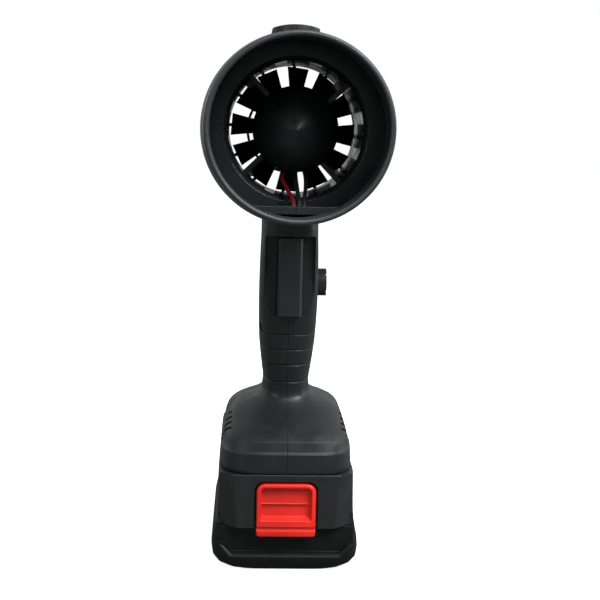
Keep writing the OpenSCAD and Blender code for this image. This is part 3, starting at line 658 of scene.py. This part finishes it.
def add_upper_case():
    """The battery's upper case: front panel, latch pocket, rail channels and terminal slots."""
    piece = pack_shape(PARTING + 0.1, PACK_TOP)
    hollow = pack_shape(PACK_WALL, 41, -PACK_WALL)
    combine(hollow, [corner_cut(side, 1.7) for side in (-1, 1)])
    combine(piece, [hollow] + [corner_cut(side) for side in (-1, 1)])
    extras = [block((-24, POCKET_Y, PARTING + 0.1), (24, POCKET_Y + PACK_WALL, 48))]
    extras.append(block((-5, POCKET_Y, PARTING + 0.1), (5, -11.4, PARTING + 1.6)))
    extras += [screw_rod(side, PARTING + 0.1, 44.8, 3.2) for side in (-1, 1)]
    combine(piece, extras + [corner_pad(side) for side in (-1, 1)], "UNION")
    cuts = []
    for side in (-1, 1):
        cuts.append(side_block(side, 23.5, 30.7, -12.6, 100, 43.2, 47.9))
        cuts.append(side_block(side, 26.8, 30.7, -12.6, 100, 43.2, 60))
        cuts.append(screw_rod(side, 21.8, 33.8, 1.3, 20))
    cuts.append(block((-16.8, 29.4, 42.6), (16.8, 100, 60)))
    cuts += [block((x - 1.4, 15, 43.6), (x + 1.4, 30, 60)) for x in (-10.5, -3.5, 3.5, 10.5)]
    pocket = rounded_box_outline(16.1, PARTING - 4, 47.1, 1.0, 5.0)
    cuts.append(skin("pocket", [at_depth(pocket, y) for y in (POCKET_Y, -60)]))
    cuts.append(block((-5.4, -24.8, 40), (5.4, POCKET_Y, 49.4)))
    cuts.append(block((-6.4, -24, 29.4), (6.4, -20, 37)))
    combine(piece, cuts)
    finish_piece(piece, "battery_top", "battery", "pack_plastic", "battery_upper_case")


def add_lower_case():
    """The battery's lower case with its finger recess below the latch."""
    piece = pack_shape(0, PARTING - 0.1)
    combine(piece, [pack_shape(PACK_WALL, 41, -PACK_WALL)])
    wall = block((-37, -22, 7), (37, -20, PARTING - 0.1))
    backing = [block((-31, -27, 6), (31, -20, 9.2))]
    backing += [side_block(side, 29, 37, -22, -12, 6, PARTING - 0.1) for side in (-1, 1)]
    backing += [screw_rod(side, 0.5, PARTING - 0.1, 3.2) for side in (-1, 1)]
    combine(wall, backing, "UNION")
    combine(wall, [pack_shape(0, PARTING - 0.1)], "INTERSECT")
    combine(piece, [wall], "UNION")
    top = PARTING + 1
    rings = []
    for y, low, wide in ((POCKET_Y, 9.4, 0), (-25.6, 9.0, 0.6), (-27.4, 7.6, 2.2), (-60, 7.4, 2.4)):
        line = [(26.5 + wide, low), (31 + wide, low + 4.4), (36, 14.2), (36, top)]
        line += [(-x, z) for x, z in reversed(line)]
        rings.append(at_depth(line, y))
    cuts = [skin("recess", rings)]
    bevel = [(32, -27.01), (37.4, -17), (60, -17), (60, -40), (32, -40)]
    for side in (-1, 1):
        outline = [(side * x, y) for x, y in bevel]
        cuts.append(skin("corner", [at_height(outline, z) for z in (14.2, top)]))
    for side in (-1, 1):
        cuts.append(screw_rod(side, -1, 26, 1.6, 20))
        cuts.append(screw_rod(side, -1, 4, 3))
    combine(piece, cuts)
    finish_piece(piece, "battery_base", "battery", "pack_plastic", "battery_lower_case")
    # The lower case takes the darker copy of the pack plastic: painted shade
    piece.data.materials[0] = FINISHES["pack_base_painted_shade"]


def tapered_box(name, inner, outer, r_low, r_high):
    """A rounded box between two (y, half width, low, high) faces."""
    return skin(name, [at_depth(rounded_box_outline(half, low, high, r_low, r_high), y)
                       for y, half, low, high in (inner, outer)])


def add_latch():
    """The red latch: rounded rim, dished face with a ridge, and a lip below."""
    rim = rounded_box_outline(15.0, 18.8, 46.1, 1.6, 4.4)
    middle_edge = rounded_box_outline(14.8, 19.0, 45.9, 1.5, 4.3)
    face = rounded_box_outline(14.5, 19.3, 45.6, 1.4, 4.1)
    depths = ((POCKET_Y - 0.4, rim), (-27.9, rim), (-28.3, middle_edge), (-28.5, face))
    piece = skin("latch", [at_depth(outline, y) for y, outline in depths])
    upper = tapered_box("dish", (-25.4, 12.2, 35.6, 42.2), (-28.6, 13.0, 34.8, 44.6), 0.8, 2.4)
    lower = tapered_box("dish", (-25.0, 12.2, 28.8, 35.2), (-28.6, 13.0, 27.0, 35.8), 0.8, 0.8)
    lip = tapered_box("lip", (-27.6, 17, 22.4, 23.6), (-28.7, 17, 21.9, 24.2), 0.3, 0.3)
    back = block((-14.2, -24, 19.2), (14.2, -20, 32.4))
    combine(piece, [upper, lower, lip, back])
    tongue = block((-5, -24.4, 43.4), (5, POCKET_Y - 0.4, PACK_TOP - 0.2))
    lug = block((-5.8, POCKET_Y - 1, 34), (5.8, -11.8, 36.4))
    combine(piece, [tongue, lug], "UNION")
    finish_piece(piece, "latch_button", "latch", "latch_red", "battery_latch")


add_upper_case()
add_lower_case()
add_latch()

# ---- stage ----


def add_floor():
    """A plain white floor that throws little light back up at the part."""
    bpy.ops.mesh.primitive_plane_add(size=4, location=(0, 1.8, 0))
    floor = bpy.context.object
    floor.name = "floor"
    material, tree, shader = new_material("floor_white")
    shader.inputs["Roughness"].default_value = 0.8
    shader.inputs["Emission Color"].default_value = (1, 1, 1, 1)
    path = tree.nodes.new("ShaderNodeLightPath")
    seen = path.outputs["Is Camera Ray"]
    tint = mix_colour(tree, seen, (0.12, 0.12, 0.12), (0.8, 0.8, 0.8))
    tree.links.new(tint, shader.inputs["Base Color"])
    glow = remap(tree, seen, 0.02, 0.86, 0, 1)
    tree.links.new(glow, shader.inputs["Emission Strength"])
    floor.data.materials.append(material)


def add_world(front, back):
    """A white studio that lights the part from behind and its sides more than from the front."""
    world = bpy.data.worlds.new("studio")
    bpy.context.scene.world = world
    world.use_nodes = True
    tree = world.node_tree
    place = tree.nodes.new("ShaderNodeTexCoord")
    parts = tree.nodes.new("ShaderNodeSeparateXYZ")
    tree.links.new(place.outputs["Generated"], parts.inputs["Vector"])
    lit = remap(tree, parts.outputs["Y"], front, back, -0.05, 0.55)
    path = tree.nodes.new("ShaderNodeLightPath")
    strength = tree.nodes.new("ShaderNodeMath")
    strength.operation = "MAXIMUM"
    tree.links.new(lit, strength.inputs[0])
    tree.links.new(path.outputs["Is Camera Ray"], strength.inputs[1])
    background = tree.nodes["Background"]
    background.inputs["Color"].default_value = (1, 1, 1, 1)
    tree.links.new(strength.outputs["Value"], background.inputs["Strength"])


def add_area(name, place, target, size, power):
    """A soft rectangular lamp that faces a point."""
    lamp = bpy.data.lights.new(name, "AREA")
    lamp.shape = "RECTANGLE"
    lamp.size, lamp.size_y = size
    lamp.energy = power
    holder = bpy.data.objects.new(name, lamp)
    holder.location = place
    holder.rotation_euler = (Vector(target) - Vector(place)).to_track_quat("-Z", "Y").to_euler()
    bpy.context.scene.collection.objects.link(holder)


def add_camera():
    """A camera at the photograph's height and distance, with its small tilt."""
    lens = bpy.data.cameras.new("camera")
    lens.sensor_width = 36
    lens.lens = 70.5
    lens.clip_start = 0.05
    camera = bpy.data.objects.new("camera", lens)
    pitch, yaw, roll = math.radians(-7.93), math.radians(2.77), math.radians(1.37)
    ahead = Vector((math.sin(yaw) * math.cos(pitch), math.cos(yaw) * math.cos(pitch), math.sin(pitch)))
    place = Matrix.Translation((-0.0232, -0.600, 0.2198))
    aim = ahead.to_track_quat("-Z", "Y").to_matrix().to_4x4()
    camera.matrix_world = place @ aim @ Matrix.Rotation(roll, 4, "Z")
    bpy.context.scene.collection.objects.link(camera)
    bpy.context.scene.camera = camera


add_floor()
add_world(0.20, 0.62)
add_area("key", (0.2, -0.60, 1.40), (0, 0, 0.12), (0.8, 0.6), 17)
add_area("side", (0.70, -0.75, 1.00), (0, -0.05, 0.22), (0.6, 0.6), 21)
add_area("fill", (-0.90, -0.80, 0.55), (0, -0.05, 0.22), (0.6, 0.6), 2.5)
add_area("edge", (1.1, 0.2, 0.5), (0, 0, 0.12), (0.5, 1.0), 3)
add_camera()
bpy.context.scene.view_settings.view_transform = "Standard"
